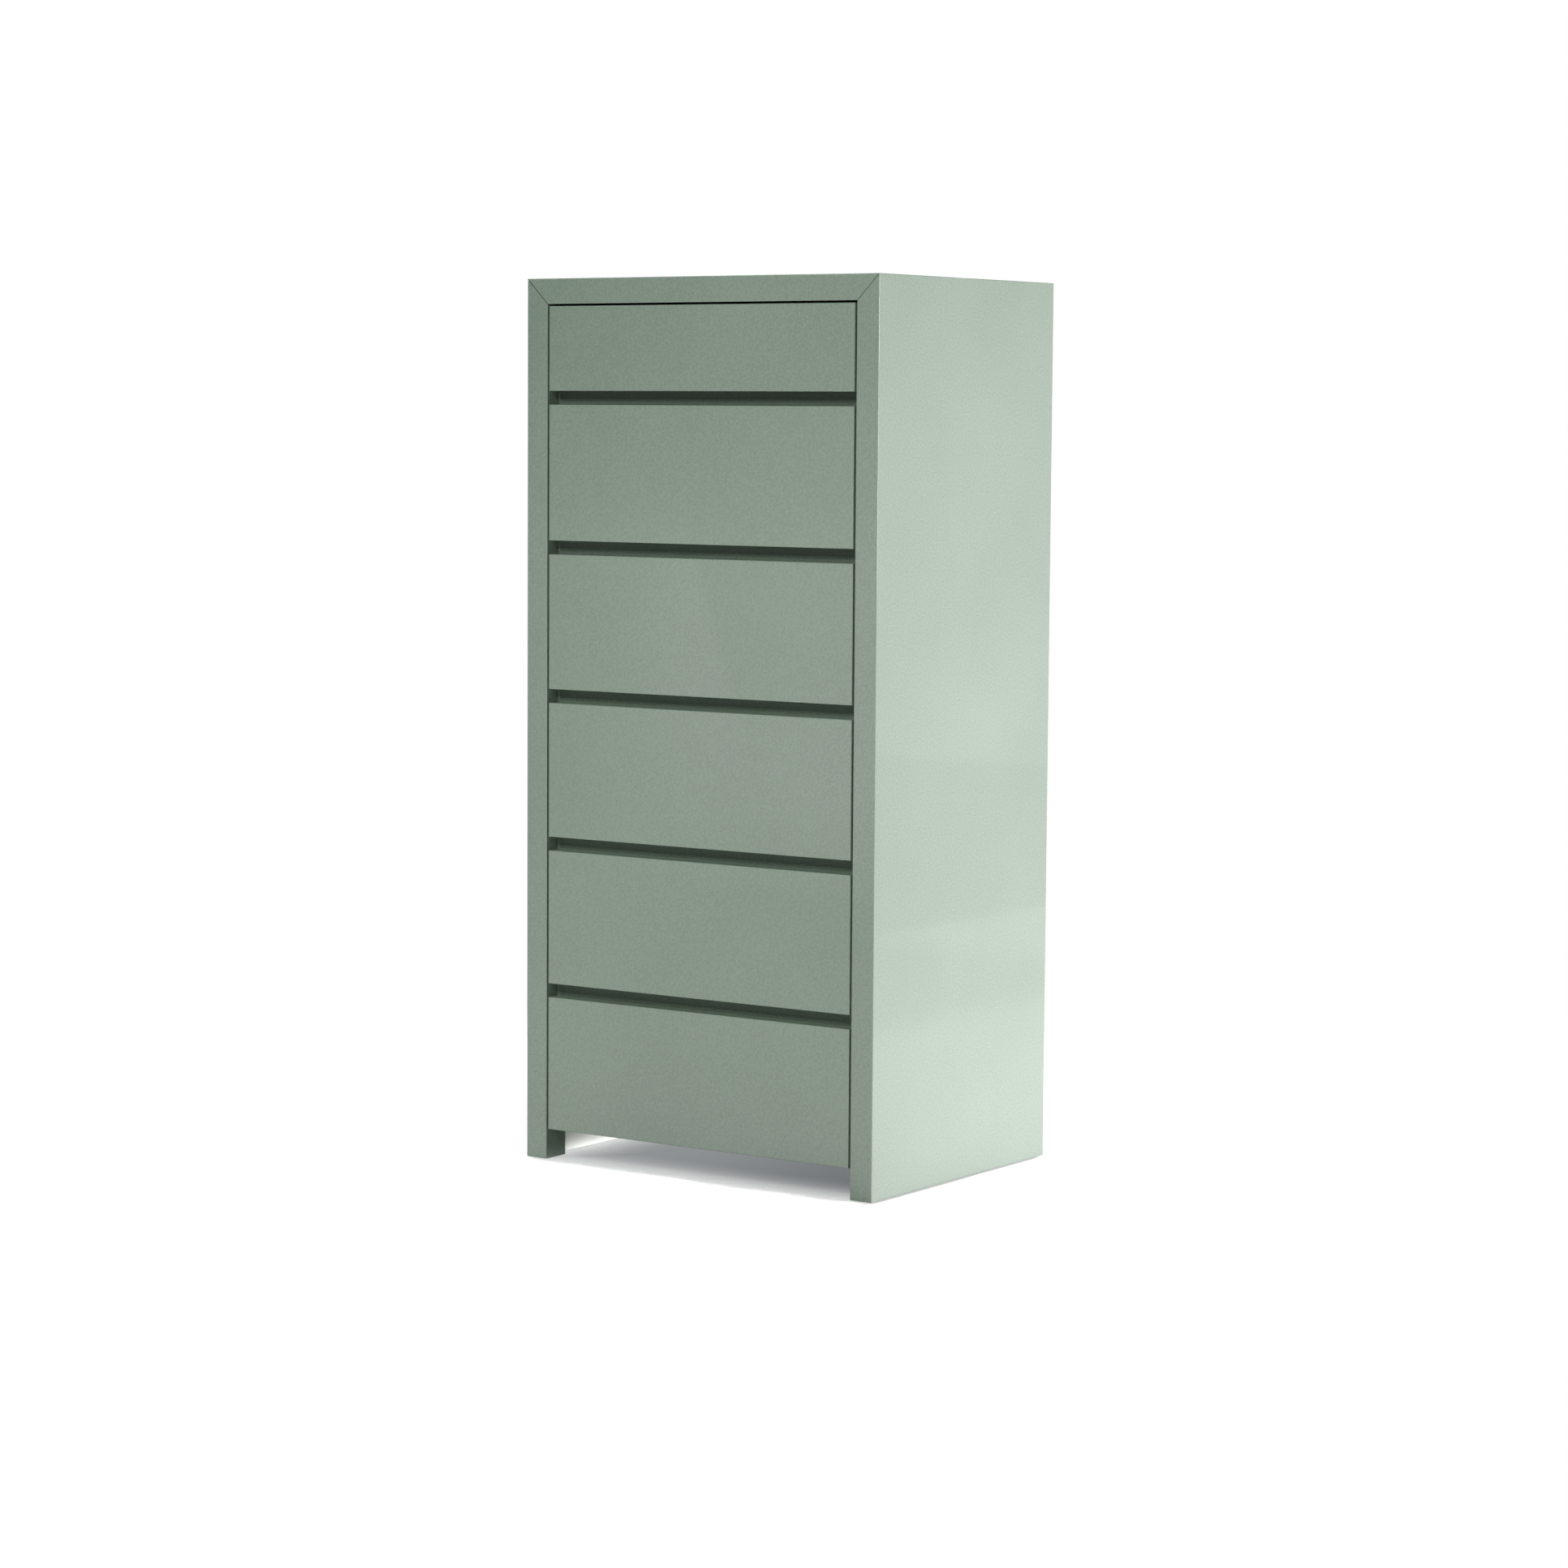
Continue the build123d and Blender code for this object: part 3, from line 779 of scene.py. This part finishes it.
def grid_piece(name, points):
    """A mesh over an array of points, rows by columns by 3, with one quad between four neighbours."""
    rows, columns = points.shape[:2]
    index = np.arange(rows * columns).reshape(rows, columns)
    quads = np.stack([index[:-1, :-1], index[:-1, 1:], index[1:, 1:], index[1:, :-1]], axis=-1)
    mesh = bpy.data.meshes.new(name)
    mesh.from_pydata(points.reshape(-1, 3).tolist(), [], quads.reshape(-1, 4).tolist())
    piece = bpy.data.objects.new(name, mesh)
    bpy.context.scene.collection.objects.link(piece)
    return piece


line = np.linspace(-FLOOR_HALF, FLOOR_HALF, FLOOR_CELLS + 1)
floor_x, floor_y = np.meshgrid(line, line)
floor = grid_piece("studio_floor", np.stack([floor_x, floor_y, np.zeros_like(floor_x)], axis=-1))
floor.data.materials.append(paper_finish)
print("floor", 2 * FLOOR_HALF, "m square")

# %% [markdown]
# ## Light
#
# The grooves tell where the light stood: their backs are dark above and lit below, with two steps, so two
# small softboxes look down on the front at about thirty degrees. The right side is twice as bright as the
# front, so a large one stands on that side, and the light tables on the floor help it from below. One
# behind fills the far faces, and one straight above lights the top, which the photograph doesn't show.
# The last two are left out of reflections, where they would burn white patches into the gloss.

# %% Softboxes
LAMP_TARGET = (0.0, 0.0, 0.65)
MINT = (0.97, 1.0, 0.97)
ROSE = (1.0, 0.95, 0.99)
OPEN = math.radians(180)
NARROW = math.radians(2)  # a deep grid before the lamp keeps its light off the floor
SOFTBOXES = {            # place, size, power, colour and beam
    "front_right_softbox": ((1.3, -5.5, 3.85), (0.4, 0.4), 62.0, MINT, OPEN),
    "front_left_softbox": ((-1.0, -5.0, 4.3), (0.4, 0.4), 95.0, MINT, OPEN),
    "side_softbox": ((3.0, 0.4, 1.3), (1.4, 1.2), 75.0, ROSE, OPEN),
    "back_softbox": ((-2.6, 2.4, 1.6), (1.8, 1.8), 85.0, MINT, OPEN),
    "top_softbox": ((0.0, 0.0, 3.5), (0.67, 0.53), 0.9, MINT, NARROW),
}
NOT_MIRRORED = ("back_softbox", "top_softbox")


def softbox(name, place, size, power, colour, beam):
    lamp = bpy.data.lights.new(name, "AREA")
    lamp.shape = "RECTANGLE"
    lamp.size, lamp.size_y = size
    lamp.energy = power
    lamp.color = colour
    lamp.spread = beam
    box = bpy.data.objects.new(name, lamp)
    box.location = place
    box.rotation_euler = (Vector(LAMP_TARGET) - Vector(place)).to_track_quat("-Z", "Y").to_euler()
    box.visible_camera = False
    box.visible_glossy = name not in NOT_MIRRORED
    bpy.context.scene.collection.objects.link(box)


for name, row in SOFTBOXES.items():
    softbox(name, *row)
print(len(SOFTBOXES), "softboxes")

# %% [markdown]
# ## A card for the gloss
#
# In the photograph the right half of the middle drawers mirrors something pale with one slanting edge, as
# a folded white card on the floor in front of the chest would look. It is a sheet between two lines, seen
# only by reflections. It grows brighter to the right, drops a little past its fold, and fades upwards.

# %% White card
CARD_FAR_EDGE = ((-2.8, -3.2, 0.0), (-2.8, -3.2, 2.1))
CARD_NEAR_EDGE = ((0.2, -3.2, 0.0), (0.2, -3.2, 2.1))
CARD_CELLS = 8
CARD_GLOW = 1.15
GLOW_START = (-2.65, -2.05)  # from left to right the glow sets in between these places
CARD_RISE = 0.3
RISE_START = (-2.15, -1.65)  # and between these it rises further
FOLD_DROP = 0.5
FOLD_FOOT = -1.882       # the fold leans: it meets the floor here, and moves left as it rises
FOLD_LEAN = 0.342
FOLD_HALF = 0.005        # half the width of its edge
FOLD_START = (0.2, 0.5)  # the drop past the fold sets in between these heights
DROP_ABOVE = (0.72, 0.9)  # and between these it reaches the whole card
FOOT_FADE = (-0.35, 0.5)
TOP_FADE = (1.3, 2.1)
PLAIN_FADE = (0.65, 1.38)  # the plain white of the card fades between these heights


def ruled_sheet(first_line, second_line, cells):
    """Points between two lines: a share of a point on one and the rest of its fellow on the other."""
    across, along = np.meshgrid(np.linspace(0, 1, cells + 1), np.linspace(0, 1, cells + 1), indexing="ij")
    first, second = (np.array(line[0]) + along[..., None] * np.subtract(line[1], line[0])
                     for line in (first_line, second_line))
    return first + across[..., None] * (second - first)


card = grid_piece("white_card", ruled_sheet(CARD_FAR_EDGE, CARD_NEAR_EDGE, CARD_CELLS))
card_glow, net = new_finish("card_glow")
card_glow.cycles.emission_sampling = "NONE"
x, z = net.split(net.place())[::2]
past_fold = net.step(x + z * FOLD_LEAN, FOLD_FOOT - FOLD_HALF, FOLD_FOOT + FOLD_HALF)
past_fold = past_fold * net.step(z, *FOLD_START)
drop = net.math("MAXIMUM", past_fold, net.step(z, *DROP_ABOVE)) * FOLD_DROP
lit = net.step(x, *GLOW_START) * (CARD_GLOW - drop) + net.step(x, *RISE_START) * CARD_RISE
lit = lit * net.step(z, *FOOT_FADE) * (1 - net.step(z, *TOP_FADE))
strength = STUDIO_GLOSS * (1 - net.step(z, *PLAIN_FADE)) + lit
net.node("OutputMaterial", Surface=net.node("Emission", Strength=strength))
card.data.materials.append(card_glow)
card.visible_camera = False
card.visible_diffuse = False
card.visible_shadow = False
print("card", card.name, "glows", CARD_GLOW)

# %% [markdown]
# ## Background
#
# The camera sees plain white all round. Gloss sees a studio: white walls to the horizon, a little higher on
# the right and brighter at their foot there, under a dim ceiling. A little even light keeps deep gaps from
# going black.

# %% World
FILL = 0.03
CEILING = 0.1
HORIZON = (-0.04, 0.04)  # the white walls end between these heights of the view
RIGHT_WALL = 0.045       # how much the white wall rises towards the right
RIGHT_SHEEN = 0.4        # how much brighter the foot of that wall mirrors
RIGHT_START = (0.0, 0.3)
FOOT_END = (-0.075, -0.04)

world = bpy.data.worlds.new("studio")
bpy.context.scene.world = world
world.use_nodes = True
sky = Net(world.node_tree)
path = sky.node("LightPath")
gloss_sees = sky.math("MAXIMUM", path.out("Is Glossy Ray"), path.out("Is Transmission Ray"))
across, height = sky.split(sky.node("TexCoord").out("Generated"))[::2]
above_wall = sky.step(height - sky.math("MAXIMUM", across, 0.0) * RIGHT_WALL, *HORIZON)
wall_foot = (1 - sky.step(height, *FOOT_END)) * sky.step(across, *RIGHT_START)
studio = STUDIO_GLOSS + above_wall * (CEILING - STUDIO_GLOSS) + wall_foot * RIGHT_SHEEN
strength = FILL + path.out("Is Camera Ray") * (1.0 - FILL) + gloss_sees * (studio - FILL)
sky.node("OutputWorld", Surface=sky.node("Background", Color=WHITE, Strength=strength))
print("even light", FILL)

# %% [markdown]
# ## Camera
#
# A long lens stood a little below the top of the chest, to the right of its front. Yaw turns it about the
# vertical, pitch tips it down and a small roll levels the picture, so the three axes of the camera are
# worked out in that order and become the columns of its matrix.

# %% Camera
CAMERA_PLACE = (3.3216, -4.8523, 1.0782)
CAMERA_YAW = math.radians(34.4526)
CAMERA_PITCH = math.radians(5.1646)
CAMERA_ROLL = math.radians(0.387)
SENSOR_WIDTH = 36.0
LENS = 93.604

away = (math.sin(CAMERA_YAW), -math.cos(CAMERA_YAW))
back = Vector((*(math.cos(CAMERA_PITCH) * v for v in away), math.sin(CAMERA_PITCH)))
level = Vector((math.cos(CAMERA_YAW), math.sin(CAMERA_YAW), 0.0))
upright = back.cross(level)
right = level * math.cos(CAMERA_ROLL) + upright * math.sin(CAMERA_ROLL)
up = upright * math.cos(CAMERA_ROLL) - level * math.sin(CAMERA_ROLL)

lens = bpy.data.cameras.new("photo_camera")
lens.sensor_width = SENSOR_WIDTH
lens.lens = LENS
camera = bpy.data.objects.new("photo_camera", lens)
camera.matrix_world = Matrix.Translation(CAMERA_PLACE) @ Matrix((right, up, back)).transposed().to_4x4()
bpy.context.scene.collection.objects.link(camera)
bpy.context.scene.camera = camera
bpy.context.scene.view_settings.view_transform = "Standard"
print("camera", round(math.dist(CAMERA_PLACE, LAMP_TARGET), 2), "m from the middle of the chest")
